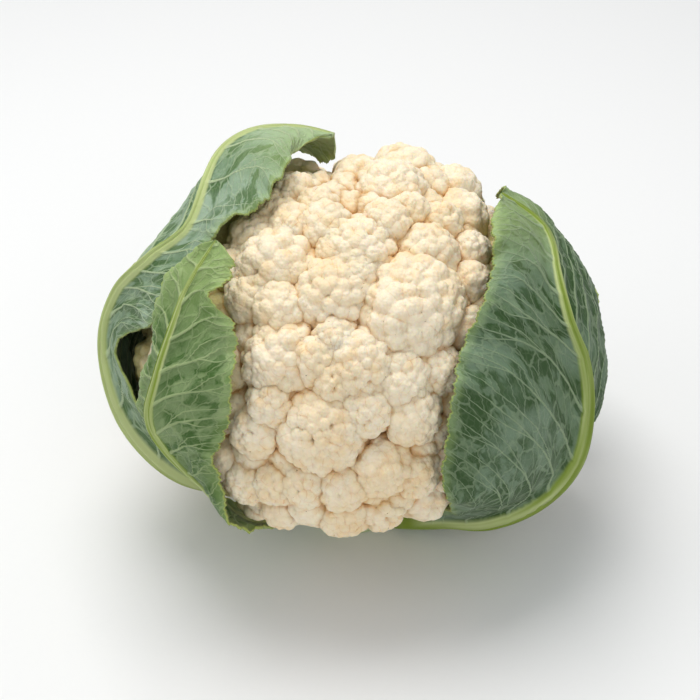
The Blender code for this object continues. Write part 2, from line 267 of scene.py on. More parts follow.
def mesh_piece(name, points, quads):
    """A piece from points in millimetres and four-sided faces."""
    mesh = bpy.data.meshes.new(name)
    mesh.vertices.add(len(points))
    mesh.vertices.foreach_set("co", (np.asarray(points) * MM).ravel())
    mesh.loops.add(quads.size)
    mesh.loops.foreach_set("vertex_index", quads.ravel().astype(np.int32))
    mesh.polygons.add(len(quads))
    mesh.polygons.foreach_set("loop_start", np.arange(len(quads), dtype=np.int32) * 4)
    mesh.update(calc_edges=True)
    mesh.shade_smooth()
    piece = bpy.data.objects.new(name, mesh)
    bpy.context.collection.objects.link(piece)
    return piece


def tell(piece, name, values):
    """Stores one number for each point, for the material to read."""
    layer = piece.data.attributes.new(name, "FLOAT", "POINT")
    layer.data.foreach_set("value", np.asarray(values, dtype=np.float32))


def belongs(piece, node, slot, *finishes):
    for finish in finishes:
        piece.data.materials.append(finish)
    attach(piece, "root")
    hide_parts(node)


# Shader arithmetic

class Shade:
    """An output of a shader node that ordinary arithmetic works on."""

    def __init__(self, tree, socket=None):
        self.tree = tree
        self.socket = socket

    def node(self, kind, settings, inputs, out=0):
        """Adds one node: settings first, then values or links by socket name or number."""
        made = self.tree.nodes.new("ShaderNode" + kind)
        for key, value in settings.items():
            setattr(made, key, value)
        for key, value in inputs.items():
            if isinstance(value, Shade):
                self.tree.links.new(value.socket, made.inputs[key])
            else:
                made.inputs[key].default_value = value
        return Shade(self.tree, made.outputs[out])

    def math(self, operation, first, second):
        return self.node("Math", {"operation": operation}, {0: first, 1: second})

    def __add__(self, other):
        return self.math("ADD", self, other)

    __radd__ = __add__

    def __sub__(self, other):
        return self.math("SUBTRACT", self, other)

    def __rsub__(self, other):
        return self.math("SUBTRACT", other, self)

    def __mul__(self, other):
        return self.math("MULTIPLY", self, other)

    __rmul__ = __mul__

    def __truediv__(self, other):
        return self.math("DIVIDE", self, other)

    def __pow__(self, other):
        return self.math("POWER", self, other)

    def __abs__(self):
        return self.node("Math", {"operation": "ABSOLUTE"}, {0: self})

    def larger(self, other):
        return self.math("MAXIMUM", self, other)

    def fade(self, low, high):
        """0 below low, 1 above high, smooth between."""
        return self.node("MapRange", {"interpolation_type": "SMOOTHSTEP"}, {0: self, 1: low, 2: high})

    def noise(self, place, size, detail=3, out=0):
        """Noise whose patches are about size millimetres across."""
        return self.node("TexNoise", {}, {"Vector": place, "Scale": 1000 / size, "Detail": detail}, out)

    def cells(self, place, size, feature="F1"):
        return self.node("TexVoronoi", {"feature": feature}, {"Vector": place, "Scale": 1000 / size})

    def attribute(self, name):
        return self.node("Attribute", {"attribute_name": name}, {}, 2)

    def mix(self, amount, first, second):
        first, second = (c if isinstance(c, Shade) else (*c, 1) for c in (first, second))
        return self.node("Mix", {"data_type": "RGBA"}, {0: amount, 6: first, 7: second}, 2)

    def vector(self, operation, *inputs, out=0):
        second = "Scale" if operation == "SCALE" else 1
        return self.node("VectorMath", {"operation": operation}, dict(zip((0, second), inputs)), out)


def new_finish(name):
    """A material's tree, its object coordinates and its Principled shader."""
    made = bpy.data.materials.new(name)
    made.use_nodes = True
    tree = made.node_tree
    start = Shade(tree)
    place = start.node("TexCoord", {}, {}, 3)
    return made, start, place, tree.nodes["Principled BSDF"]


def put(shader, start, **inputs):
    """Links or sets the shader's own sockets, written with _ for a space."""
    for key, value in inputs.items():
        socket = shader.inputs[key.replace("_", " ")]
        if isinstance(value, Shade):
            start.tree.links.new(value.socket, socket)
        else:
            socket.default_value = value


def bumped(start, shader, layers):
    """Chains bump nodes: each layer is a height in millimetres and its strength."""
    normal = None
    for height, strength in layers:
        inputs = {"Strength": strength, "Distance": MM, "Height": height}
        if normal:
            inputs["Normal"] = normal
        normal = start.node("Bump", {}, inputs)
    put(shader, start, Normal=normal)


# Finishes

CREAM = (0.87, 0.72, 0.49)
CREAM_PALE = (0.90, 0.79, 0.60)
CREAM_WARM = (0.85, 0.63, 0.36)
CREVICE_SHADE_TAN = (0.66, 0.34, 0.09)
GAP_SHADE_BROWN = (0.30, 0.14, 0.035)
LEAF_SHADE_OLIVE = (0.36, 0.33, 0.055)
FLECK = (0.22, 0.12, 0.04)
BRANCH_FLESH = ((0.62, 0.50, 0.25), (0.78, 0.70, 0.45))
BRANCH_SHADE_BROWN = ((0.42, 0.24, 0.09), (0.52, 0.33, 0.13))
# Values kept on each curd point: all four set painted shade in curd_finish.
CURD_TOLD = ("crease_shade", "fine_crease_shade", "gap_shade", "shelter")


def curd_finish():
    """Cream, warmer in patches, with painted shade: tan in the creases of lumps, brown in the gaps between
    florets and olive under the leaves.
    """
    made, start, place, shader = new_finish("curd_skin")
    crease_shade, fine_crease_shade, gap_shade, shelter = (start.attribute(name) for name in CURD_TOLD)
    broad = start.noise(place, 26, 2)
    patches = start.noise(place, 7, 3)
    colour = start.mix(broad.fade(0.42, 0.66), CREAM_PALE, CREAM)
    colour = start.mix(patches.fade(0.48, 0.72) * 0.7, colour, CREAM_WARM)
    grains = start.cells(place, 1.3)
    colour = start.mix(grains.fade(0.5, 0.9) * 0.10, colour, CREAM_WARM)
    # Painted shade: a slight warm tint in the fine creases between buds.
    colour = start.mix(fine_crease_shade * 0.14, colour, CREAM_WARM)
    # Painted shade: tan in the creases of lumps and under each dome, in patches.
    tan = (crease_shade * (0.25 + patches)).fade(0.40, 1.10)
    colour = start.mix(tan * 0.62, colour, CREVICE_SHADE_TAN)
    # Painted shade and painted green light: an olive tint where the leaves cover the curd.
    colour = start.mix(shelter.fade(0.62, 1.0) * 0.72, colour, LEAF_SHADE_OLIVE)
    # Painted shade: tan, then brown, deep in the gaps between florets.
    colour = start.mix(gap_shade.fade(0.03, 0.60) * 0.62, colour, CREVICE_SHADE_TAN)
    colour = start.mix(gap_shade.fade(0.55, 1.0) * 0.70, colour, GAP_SHADE_BROWN)
    flecks = start.noise(place, 1.3, 1).fade(0.70, 0.75) * (crease_shade + gap_shade).fade(0.55, 0.95)
    colour = start.mix(flecks * 0.7, colour, FLECK)
    put(shader, start, Base_Color=colour, Roughness=0.62, Subsurface_Weight=0.25,
        Subsurface_Radius=(1.0, 0.60, 0.25), Subsurface_Scale=0.0035, Specular_IOR_Level=0.3)
    bumped(start, shader, ((1 - grains, 0.34), (start.noise(place, 0.6, 2), 0.18)))
    return made


def heart_finish():
    """The flesh of the branches, pale underneath, with painted shade that turns it brown higher up,
    between the florets.
    """
    made, start, place, shader = new_finish("curd_heart_flesh")
    streaks = start.noise(place, 9, 4)
    height = start.node("SeparateXYZ", {}, {0: place}, 2)
    colour = start.mix(streaks.fade(0.35, 0.7), *BRANCH_FLESH)
    # Painted shade: brown higher up, where the florets cover the branches.
    low = height.fade(0.062, 0.040)
    colour = start.mix(low, start.mix(streaks, *BRANCH_SHADE_BROWN), colour)
    put(shader, start, Base_Color=colour, Roughness=0.6, Subsurface_Weight=0.15,
        Subsurface_Radius=(1.0, 0.7, 0.3), Subsurface_Scale=0.003)
    bumped(start, shader, ((streaks, 0.5), (start.noise(place, 1.4, 3), 0.3)))
    return made


LEAF_TONES = {
    # blade, blotch, bloom, vein, rim
    "leaf": ((0.145, 0.235, 0.130), (0.050, 0.120, 0.024), (0.320, 0.425, 0.310),
             (0.440, 0.530, 0.300), (0.360, 0.440, 0.120)),
    "leaf_young": ((0.098, 0.172, 0.046), (0.036, 0.105, 0.006), (0.205, 0.290, 0.120),
                   (0.370, 0.460, 0.215), (0.440, 0.500, 0.120)),
    "leaf_dark": ((0.082, 0.142, 0.058), (0.016, 0.060, 0.003), (0.155, 0.235, 0.150),
                  (0.290, 0.375, 0.215), (0.360, 0.430, 0.100)),
}
RIB_CREAM = (0.470, 0.540, 0.230)
RIB_STRIPES = {"leaf": (0.24, 0.54), "leaf_young": (0.36, 0.62), "leaf_dark": (0.40, 0.66)}
RIB_GREEN = (0.205, 0.290, 0.020)
TIP_GREEN = (0.420, 0.560, 0.200)
REAR_DARKENING = {"leaf": 0, "leaf_young": 0, "leaf_dark": 0.10}  # how much darker behind the midrib, overall and in blotches
INNER_GREENS = ((0.045, 0.105, 0.009), (0.100, 0.190, 0.018))
INNER_VEIN = (0.20, 0.30, 0.07)


def on_line(apart, half_width):
    """1 on a line and 0 beyond it, from a distance and half a width in millimetres."""
    return 1 - (apart / half_width).fade(0.55, 1.25)


# The next three work on numbers and on Shades: vein_mask paints the lines that vein_lines raises

def vein_half(inward):
    """Half the width of a side vein, from how far inward it is from the edge."""
    return 0.22 + 0.60 * inward ** 1.3


def fork_half(inward):
    """The same of a fork."""
    return 0.15 + 0.34 * inward


def fork_begin(wave):
    """Where a vein begins to fork on its way from the midrib, 0, to the edge, 1."""
    return wave * 0.13 + 0.32


def vein_mask(start):
    """Side veins and their forks, from the leaf's own vein numbering."""
    order, outward, pitch = (start.attribute(name) for name in ("order", "outward", "pitch"))
    number = start.node("Math", {"operation": "ROUND"}, {0: order})
    off = order - number
    begin = fork_begin(start.node("Math", {"operation": "SINE"}, {0: number * FORK_WAVE}))
    inward = 1 - outward
    found = on_line(abs(off) * pitch, vein_half(inward))
    for offset, later, reach in VEIN_FORKS:
        bend = (outward - begin - later).fade(0, reach) * offset
        begun = (outward - begin - later).fade(-0.01, 0.02)
        found = found.larger(on_line(abs(off - bend) * pitch, fork_half(inward)) * begun)
    return found


def leaf_finish(kind):
    """The outer face: bloom over green, dark blotches between pale veins, a striped pale midrib."""
    blade, blotch, bloom, vein_colour, rim = LEAF_TONES[kind]
    made, start, place, shader = new_finish(kind + "_outer")
    rib, margin, share = (start.attribute(name) for name in ("rib", "margin", "share"))
    across = start.attribute("across")
    veins = vein_mask(start)
    sheet = start.node("CombineXYZ", {}, {0: start.attribute("order") * 0.010, 1: across * MM})
    wavy = start.vector("ADD", sheet, start.vector("SCALE", start.noise(sheet, 7, 2, 1), 0.0035))
    net = start.cells(wavy, 6.5, "DISTANCE_TO_EDGE") * 6.5
    small_net = start.cells(wavy, 2.3, "DISTANCE_TO_EDGE") * 2.3
    open_part = share.fade(0.14, 0.30)
    net_line = (1 - net.fade(0.10, 0.42)) * open_part
    small_line = (1 - small_net.fade(0.04, 0.26)) * open_part
    broad = start.noise(place, 30, 3)
    mottle = start.noise(start.vector("MULTIPLY", wavy, (1.25, 0.6, 1)), 6.2, 4)
    fine = start.noise(place, 2.6, 4)
    colour = start.mix(broad.fade(0.36, 0.62) * 0.8, blade, bloom)
    colour = start.mix(fine.fade(0.45, 0.7) * 0.3, colour, bloom)
    low = 1 - share.fade(0.15, 0.9)
    # Darker behind the midrib, overall and in blotches, by the table above.
    behind = across.fade(0, 14) * REAR_DARKENING[kind]
    dark = (mottle + 0.09 * low + behind).fade(0.500, 0.585) * broad.fade(0.70, 0.48) * (1 - veins)
    dark = dark * (1 - net_line * 0.6)
    colour = start.mix(dark * 0.92, colour, blotch)
    colour = start.mix(behind * 2.4, colour, blotch)
    young = margin.fade(0.02, 0.75) * 0.25 + share.fade(0.74, 0.97) * 0.5
    colour = start.mix(young, colour, TIP_GREEN)
    colour = start.mix(small_line * 0.10, colour, vein_colour)
    colour = start.mix(net_line * 0.26, colour, vein_colour)
    colour = start.mix(veins * (0.85 - 0.4 * start.attribute("outward")), colour, vein_colour)
    streak = start.node("CombineXYZ", {}, {0: start.attribute("lane"), 1: share * 0.9})
    stripes = start.noise(streak, 400, 2)
    rib_colour = start.mix(stripes.fade(*RIB_STRIPES[kind]), RIB_GREEN, RIB_CREAM)
    colour = start.mix(rib.fade(0.15, 0.8), colour, rib_colour)
    colour = start.mix(margin.fade(0.86, 0.99) * 0.75, colour, rim)
    put(shader, start, Base_Color=colour, Roughness=0.50 + fine * 0.14, Specular_IOR_Level=0.4,
        Subsurface_Weight=0.06, Subsurface_Radius=(0.4, 1.0, 0.25), Subsurface_Scale=0.002,
        Sheen_Weight=0.08, Sheen_Roughness=0.4)
    raised = veins + 0.45 * net_line + 0.15 * small_line
    bumped(start, shader, ((raised * (1 - rib), 0.55), (fine, 0.2), (stripes * rib, 0.5)))
    return made


def leaf_inner_finish(kind):
    """The face towards the curd: a fuller green with sunken veins."""
    made, start, place, shader = new_finish(kind + "_inner")
    veins = vein_mask(start)
    mottle = start.noise(place, 9, 4)
    mesh = start.cells(place, 3.0, "DISTANCE_TO_EDGE")
    colour = start.mix(mottle.fade(0.35, 0.65), *INNER_GREENS)
    colour = start.mix(veins * 0.6, colour, INNER_VEIN)
    colour = start.mix(start.attribute("rib").fade(0.3, 1.0) * 0.7, colour, RIB_GREEN)
    put(shader, start, Base_Color=colour, Roughness=0.5, Specular_IOR_Level=0.4)
    bumped(start, shader, ((mesh.fade(0, 0.4), 0.5), (mottle, 0.2)))
    return made


def leaf_rim_finish(kind):
    """The thin edge between the two faces."""
    rim = LEAF_TONES[kind][4]
    made, start, place, shader = new_finish(kind + "_rim")
    patches = start.noise(place, 2.2, 2)
    colour = start.mix(patches.fade(0.35, 0.65), rim, tuple(c * 0.55 for c in rim))
    put(shader, start, Base_Color=colour, Roughness=0.5)
    bumped(start, shader, ((patches, 0.3),))
    return made


STEM_GREENS = ((0.50, 0.58, 0.30), (0.66, 0.70, 0.46))
STEM_FIBRE = (0.36, 0.44, 0.16)
STEM_PITH = ((0.80, 0.80, 0.62), (0.74, 0.73, 0.50))
STEM_FLESH = (0.66, 0.71, 0.42)
STEM_BUNDLE = (0.46, 0.50, 0.20)
STEM_RIND = (0.40, 0.50, 0.16)


def stem_finish():
    """Pale green bark, and a cut face with a ring of bundles round its pith."""
    made, start, place, shader = new_finish("stem_skin")
    fibres = start.noise(start.vector("MULTIPLY", place, (1, 1, 0.25)), 3.2, 5)
    patches = start.noise(place, 12, 3)
    height = start.node("SeparateXYZ", {}, {0: place}, 2)
    colour = start.mix(patches.fade(0.35, 0.65), *STEM_GREENS)
    colour = start.mix(fibres.fade(0.5, 0.7) * 0.5, colour, STEM_FIBRE)
    cut = height.fade(0.0013, 0.0004)
    level = start.vector("MULTIPLY", place, (1, 1, 0))
    out = start.vector("LENGTH", level, out="Value")
    ring = out.fade(0.0155, 0.0175)
    bundles = start.cells(level, 2.2).fade(0.55, 0.2) * ring * out.fade(0.0225, 0.0205)
    flesh = start.mix(fibres.fade(0.4, 0.7), *STEM_PITH)
    flesh = start.mix(out.fade(0.0150, 0.0170), flesh, STEM_FLESH)
    flesh = start.mix(bundles * 0.6, flesh, STEM_BUNDLE)
    flesh = start.mix(out.fade(0.0235, 0.0250), flesh, STEM_RIND)
    colour = start.mix(cut, colour, flesh)
    put(shader, start, Base_Color=colour, Roughness=0.5)
    bumped(start, shader, ((fibres, 0.5), (start.noise(place, 0.9, 2), 0.25)))
    return made


# Curd

def ball_reach(directions, middle, radius):
    """How far out a ball reaches along each direction from the origin, 0 where it is missed."""
    along = directions @ middle
    room = radius * radius - middle @ middle + along * along
    return np.where((room > 0) & (along > 0), along + np.sqrt(np.maximum(room, 0)), 0)


def head_reach(directions):
    """The head without its florets: an ellipsoid with its lobes."""
    upright = np.where(directions[:, 2] > 0, HEAD_TOP, HEAD_UNDER)
    level = 1 - directions[:, 2] ** 2
    reach = 1 / np.sqrt(level / HEAD_SIDE ** 2 + directions[:, 2] ** 2 / upright ** 2)
    for azimuth, elevation, distance, radius in LOBES:
        reach = np.maximum(reach, ball_reach(directions, heading(azimuth, elevation) * distance, radius))
    return reach


def apart_on_head(way, other):
    """Millimetres between two directions, over the head."""
    return math.acos(min(1, float(way @ other))) * HEAD_SIDE


def floret_list():
    """Direction and radius of every floret: the front's own, then a seeded draw that fills the rest."""
    chosen = [
        (heading(azimuth, elevation), radius * (LOWER_SWELL if number in LOWER_FLORETS else 1))
        for number, (azimuth, elevation, radius) in enumerate(FRONT_FLORETS)
    ]
    draw = random.Random(SEED)
    for k in range(HIDDEN_TRIES):
        rise = 1 - 2 * (k + 0.5) / HIDDEN_TRIES
        elevation = math.degrees(math.asin(rise))
        azimuth = math.degrees(k * GOLDEN_ANGLE * 7)
        radius = draw.uniform(*HIDDEN_RADII)
        if elevation < LOWEST_FLORET:
            continue
        way = heading(azimuth, elevation)
        if all(apart_on_head(way, other) > SPACING * (radius + size) for other, size in chosen):
            chosen.append((way, radius))
    return chosen


class Ceiling:
    """How far out from the head's centre the leaves begin, kept on a grid of directions."""

    STEP = 2.0
    LOW = -60.0
    OPEN = 140.0  # kept where no leaf is met
    KEPT_CLEAR = 2.0  # degrees round each leaf
    SLOPE = 2.2  # millimetres of room gained for each degree further from a leaf
    LOOK = 8  # grid steps
    SHELTER_ROUND = 9  # degrees round a place that count for its shade

    def __init__(self, leaves):
        azimuths = np.arange(-180, 180, self.STEP)
        elevations = np.arange(self.LOW, 90 + self.STEP, self.STEP)
        ways = heading(*np.meshgrid(azimuths, elevations, indexing="ij"))
        grid = np.full(ways.shape[:2], self.OPEN)
        centre = Vector(HEAD_CENTRE * MM)
        for leaf in leaves:
            rings = [list(face.vertices) for face in leaf.data.polygons]
            tree = BVHTree.FromPolygons([v.co for v in leaf.data.vertices], rings)
            for i in range(len(azimuths)):
                for j in range(len(elevations)):
                    hit = tree.ray_cast(centre, Vector(ways[i, j]))
                    if hit[0] is not None:
                        grid[i, j] = min(grid[i, j], hit[3] / MM)
        flat = np.cos(np.radians(elevations))
        look = self.LOOK
        padded = np.pad(grid, ((0, 0), (look, look)), constant_values=self.OPEN)
        lowest, cover, looks = grid.copy(), np.zeros_like(grid), np.zeros_like(grid)
        for di in range(-look, look + 1):
            for dj in range(-look, look + 1):
                moved = np.roll(padded, di, 0)[:, look + dj:look + dj + len(elevations)]
                away = self.STEP * np.hypot(di * flat, dj)[None]
                rise = self.SLOPE * np.maximum(0, away - self.KEPT_CLEAR)
                lowest = np.minimum(lowest, moved + rise)
                cover += (moved < self.OPEN - 5) * (away < self.SHELTER_ROUND)
                looks += away < self.SHELTER_ROUND
        self.grid = lowest
        self.shelter = cover / looks

    def look_up(self, grid, directions):
        """A grid's value in each direction, blended between the four nearest that it keeps."""
        azimuth = np.degrees(np.arctan2(directions[:, 0], -directions[:, 1]))
        elevation = np.degrees(np.arcsin(np.clip(directions[:, 2], -1, 1)))
        x = (azimuth + 180) / self.STEP
        y = np.clip((elevation - self.LOW) / self.STEP, 0, grid.shape[1] - 1.001)
        i, j = np.floor(x).astype(int), np.floor(y).astype(int)
        fx, fy = x - i, y - j
        rows = grid.shape[0]
        a, b = grid[i % rows, j], grid[(i + 1) % rows, j]
        c, d = grid[i % rows, j + 1], grid[(i + 1) % rows, j + 1]
        return (a * (1 - fx) + b * fx) * (1 - fy) + (c * (1 - fx) + d * fx) * fy

    def over(self, directions):
        """Millimetres from the head's centre to the leaves."""
        return self.look_up(self.grid, directions)

    def shade(self, directions):
        """Share of what lies round each direction that a leaf covers, which sets the painted shade under
        the leaves.
        """
        return self.look_up(self.shelter, directions)


BALLS = {}


def cut_ball(cuts):
    """Directions and faces of a cube that was cut evenly and blown up to a ball, kept for reuse."""
    if cuts not in BALLS:
        deselect()
        bpy.ops.mesh.primitive_cube_add(size=2)
        cube = bpy.context.object
        bpy.ops.object.mode_set(mode="EDIT")
        bpy.ops.mesh.select_all(action="SELECT")
        bpy.ops.mesh.subdivide(number_cuts=cuts - 1)
        bpy.ops.object.mode_set(mode="OBJECT")
        corners = np.tan(points_of(cube) * (math.pi / 4))
        corners /= np.linalg.norm(corners, axis=1)[:, None]
        faces = np.array([list(face.vertices) for face in cube.data.polygons])
        mesh = cube.data
        bpy.data.objects.remove(cube)
        bpy.data.meshes.remove(mesh)
        BALLS[cuts] = (corners, faces)
    return BALLS[cuts]


def spiral(count, tilt_of):
    """Directions on a golden-angle spiral round +Z, each as far from it as tilt_of says, and how far."""
    k = np.arange(count)
    tilt = tilt_of(k + 0.5)
    turn = k * GOLDEN_ANGLE
    flat = np.sin(tilt)
    return np.stack((flat * np.cos(turn), flat * np.sin(turn), np.cos(tilt)), -1), tilt


def lumps_on(radius, fineness, draw):
    """Middles and radii of the lumps that cover a floret, small at its apex and larger towards its rim."""
    smallest = (LUMP_AT_APEX[0] + LUMP_AT_APEX[1] * radius) * fineness
    largest = (LUMP_AT_RIM[0] + LUMP_AT_RIM[1] * radius) * fineness
    tilts = np.linspace(0, DOME_SPREAD, 200)
    sizes = smallest + (largest - smallest) * np.minimum(1, tilts / 1.2) ** 1.3
    crowd = 2 * math.pi * radius ** 2 * np.sin(tilts) / ((LUMP_SPACING * sizes) ** 2 * PACKED)
    passed = np.concatenate(([0], np.cumsum((crowd[1:] + crowd[:-1]) / 2 * np.diff(tilts))))
    count = int(passed[-1])
    ways, tilt = spiral(count, lambda k: np.interp(k, passed, tilts))
    size = np.interp(tilt, tilts, sizes)
    size *= draw.uniform(0.80, 1.22, count)
    ways = unit(ways + draw.normal(size=ways.shape) * (0.16 * size / radius)[:, None])
    out = radius - LUMP_SINK * size + draw.uniform(-0.10, 0.10, count) * size
    return ways * out[:, None], size


def buds_on(middles, sizes, draw):
    """Middles and radii of the buds on each lump that no other lump buries."""
    points, radii, owners = [], [], []
    for j, (middle, size) in enumerate(zip(middles, sizes)):
        radius = float(np.clip(BUD_SHARE * size, *BUD_SIZES))
        area = 2 * math.pi * size * size * BUD_COVER
        count = max(6, int(area / (BUD_SPACING * radius) ** 2 / PACKED))
        ways, _ = spiral(count, lambda k: np.arccos(1 - BUD_COVER * k / count))
        ways = ways @ axes_on(unit(middle), (0.36, 0.48, 0.80))
        ways += draw.normal(size=ways.shape) * 0.20 * radius / size
        points.append(middle + ways * size)
        radii.append(radius * draw.uniform(0.78, 1.22, count))
        owners.append(np.full(count, j))
    points, radii, owners = np.concatenate(points), np.concatenate(radii), np.concatenate(owners)
    apart = np.linalg.norm(points[:, None] - middles[None], axis=2) - sizes[None] * 0.97
    apart[np.arange(len(points)), owners] = 1
    kept = apart.min(1) > 0
    return points[kept], radii[kept]


def best_two(points, middles, radii, chunk=3000):
    """For each point, how high the highest and the second highest bud over it stand, as shares."""
    first, second = np.zeros(len(points)), np.zeros(len(points))
    for start in range(0, len(points), chunk):
        here = points[start:start + chunk].astype(np.float32)
        spread = ((here[:, None] - middles[None].astype(np.float32)) ** 2).sum(2)
        caps = np.sqrt(np.maximum(radii[None].astype(np.float32) ** 2 - spread, 0)) / radii[None]
        two = np.partition(caps, -2, axis=1)[:, -2:]
        first[start:start + chunk] = two[:, 1]
        second[start:start + chunk] = two[:, 0]
    return first, second


def dome_of_lumps(number, radius, ways, draw):
    """Points along the ways, on a dome of lumps and buds, and how deep in the creases of each, which sets
    the painted shade there.
    """
    fineness = FINE_FLORETS.get(number, FINE_FRONT if number < len(FRONT_FLORETS) else 1)
    middles, sizes = lumps_on(radius, fineness, draw)
    along = ways @ middles.T
    room = sizes ** 2 - (middles ** 2).sum(1) + along ** 2
    reach = np.where((room > 0) & (along > 0), along + np.sqrt(np.maximum(room, 0)), 0)
    every = np.arange(len(reach))
    owner = reach.argmax(1)
    top = reach[every, owner]
    reach[every, owner] = 0
    floor = radius * DOME_FLOOR
    top, second = np.maximum(top, floor), np.maximum(reach.max(1), floor)
    crease_shade = np.exp(-((top - second) / 0.5) ** 2)
    points = ways * (top + 0.20 * np.exp(-((top - second) / 0.6) ** 2))[:, None]
    out = unit(points - middles[owner])
    bud_points, bud_sizes = buds_on(middles, sizes, draw)
    high, next_high = best_two(points, bud_points, bud_sizes)
    size = np.clip(BUD_SHARE * sizes, *BUD_SIZES)[owner]
    roll = 0.36 + 0.22 * drift(points + number * 37.0, 16, SEED)
    between = np.exp(-((high - next_high) / 0.09) ** 2)
    points = points + out * ((high + 0.05 * between - 0.75) * size * roll)[:, None]
    points *= (1 + 0.055 * drift(points + number * 19.0, radius * 2.2, SEED + 1))[:, None]
    return points, crease_shade, between * (1 - smooth(0.6, 0.92, high))


def branch_under(radius, flat, turn):
    """The branch under a dome, narrowing from its rim to a point."""
    rim, length = BRANCH
    under = smooth(DOME_SHARE, math.pi, turn)
    narrow = (1 - 0.75 * smooth(0, 0.6, under)) * (1 - under ** 3)
    wide = math.sin(DOME_SPREAD) * radius * rim * narrow
    height = math.cos(DOME_SPREAD) * radius * rim - under * radius * length
    return np.column_stack((flat * wide[:, None], height))


def pressed_in(points, way, radius, dome, ceiling):
    """Sinks a floret under the leaves, flattens what still meets them, and rests it on the stem."""
    far = np.linalg.norm(points, axis=1)
    over = far - (ceiling.over(points / far[:, None]) - LEAF_CLEAR)
    press = PRESS * max(0.0, float(over[dome].max()))
    points = points - way * min(press, radius * 0.8)
    far = np.linalg.norm(points, axis=1)
    outward = points / far[:, None]
    points = points * (np.minimum(far, ceiling.over(outward) - LEAF_CLEAR) / far)[:, None]
    points[:, 2] = np.maximum(points[:, 2], SEAT_HEIGHT - HEAD_HEIGHT)
    return points, ceiling.shade(outward)


def gap_beside(number, points, florets):
    """How deep between this floret and another each point lies, for the painted shade there: 1 at the
    bottom, 0 in the open.
    """
    way, radius, _ = florets[number]
    nearest = np.full(len(points), 1e3)
    for other, row in enumerate(florets):
        if other != number and apart_on_head(way, row[0]) < radius + row[1] + 6:
            away = np.linalg.norm(points - row[0] * floret_distance(row), axis=1) - row[1] * 0.98
            nearest = np.minimum(nearest, away)
    distance = np.linalg.norm(points, axis=1)
    depth = smooth(-3.5, 5.0, head_reach(points / distance[:, None]) - distance)
    return np.clip((1 - smooth(-0.2, 4.0, nearest)) * (0.25 + 0.75 * depth), 0, 1)


def grow_floret(number, florets, ceiling):
    """One floret, a dome on a short branch: points, faces, and what CURD_TOLD names for each point."""
    way, radius, _ = florets[number]
    draw = np.random.default_rng(SEED * 1000 + number)
    spacing = POINT_SPACING if number < len(FRONT_FLORETS) else HIDDEN_POINT_SPACING
    ball, faces = cut_ball(max(8, int(round(math.pi / 2 * radius / spacing))))
    turn = np.arccos(np.clip(ball[:, 2], -1, 1))
    flat = unit(ball[:, :2])
    tilt = np.minimum(turn / DOME_SHARE, 1) * DOME_SPREAD
    ways = np.column_stack((flat * np.sin(tilt)[:, None], np.cos(tilt)))
    points, crease_shade, fine_crease_shade = dome_of_lumps(number, radius, ways, draw)
    dome = turn <= DOME_SHARE
    points[~dome] = branch_under(radius, flat, turn)[~dome]
    # The branch under each dome takes the full painted shade of a crease.
    crease_shade[~dome] = 1

    side = unit(np.cross(way, (0.3, 0.5, 0.81)))
    lean = unit(way + side * draw.normal() * LEAN + np.cross(way, side) * draw.normal() * LEAN)
    points = points @ axes_on(lean, side) + way * floret_distance(florets[number])
    points, shelter = pressed_in(points, way, radius, dome, ceiling)
    gap_shade = gap_beside(number, points, florets)
    return points + HEAD_CENTRE, faces, crease_shade, fine_crease_shade, gap_shade, shelter


def sunken_reach(ways):
    """The head's surface, lower where the florets leave a hollow."""
    reach = head_reach(ways)
    for azimuth, elevation, wide, depth in HOLLOWS:
        apart = np.degrees(np.arccos(np.clip(ways @ heading(azimuth, elevation), -1, 1)))
        reach = reach - depth * (1 - smooth(wide * 0.35, wide, apart))
    return reach


def floret_distance(row):
    """How far a floret's middle is from the head's centre."""
    way, radius, sunk = row
    return sunken_reach(way[None])[0] + FLORET_RISE[0] + FLORET_RISE[1] * radius - radius - sunk


def with_fillers(florets):
    """Adds small sunken florets wherever the others leave the head bare."""
    rows = []
    draw = np.random.default_rng(SEED)
    for number, (way, radius) in enumerate(florets):
        if number >= len(FRONT_FLORETS):
            way = unit(way + draw.normal(size=3) * 0.03)
        rows.append((way, radius, 0.0))
    for k in range(FILLER_TRIES):
        rise = 1 - 2 * (k + 0.5) / FILLER_TRIES
        if rise < math.sin(math.radians(LOWEST_FLORET - 4)):
            break
        way = heading(math.degrees(k * GOLDEN_ANGLE), math.degrees(math.asin(rise)))
        reached = max(
            float(ball_reach(way[None], row[0] * floret_distance(row), row[1] * 0.95)[0])
            for row in rows if row[0] @ way > 0.9
        )
        if reached < sunken_reach(way[None])[0] - BARE_DEPTH:
            radius = FILLER_RADIUS * draw.uniform(0.85, 1.35)
            rows.append((way, radius, draw.uniform(4.0, 6.0)))
    return rows


def build_curd(finish, heart):
    """The florets, gathered from below upwards into pieces of a handy size, and the body in them."""
    ceiling = Ceiling([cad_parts[name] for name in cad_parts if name.startswith("leaf")])
    florets = with_fillers(floret_list())
    ways = [way for way, _, _ in florets]
    order = sorted(range(len(ways)), key=lambda i: (round(ways[i][2], 1), math.atan2(*ways[i][:2])))
    batches, count = [[]], 0
    for i in order:
        grown = grow_floret(i, florets, ceiling)
        if batches[-1] and count + len(grown[1]) > CURD_PIECE_LIMIT:
            batches.append([])
            count = 0
        batches[-1].append(grown)
        count += len(grown[1])
    for number, batch in enumerate(batches, 1):
        points, faces, *told = zip(*batch)
        starts = np.cumsum([0] + [len(part) for part in points])
        quads = np.concatenate([part + start for part, start in zip(faces, starts)])
        piece = mesh_piece("curd_florets_%02d" % number, np.concatenate(points), quads)
        for name, values in zip(CURD_TOLD, told):
            tell(piece, name, np.concatenate(values))
        belongs(piece, "curd", "curd", finish)
    print("florets", len(florets))
    build_heart(ceiling, heart)


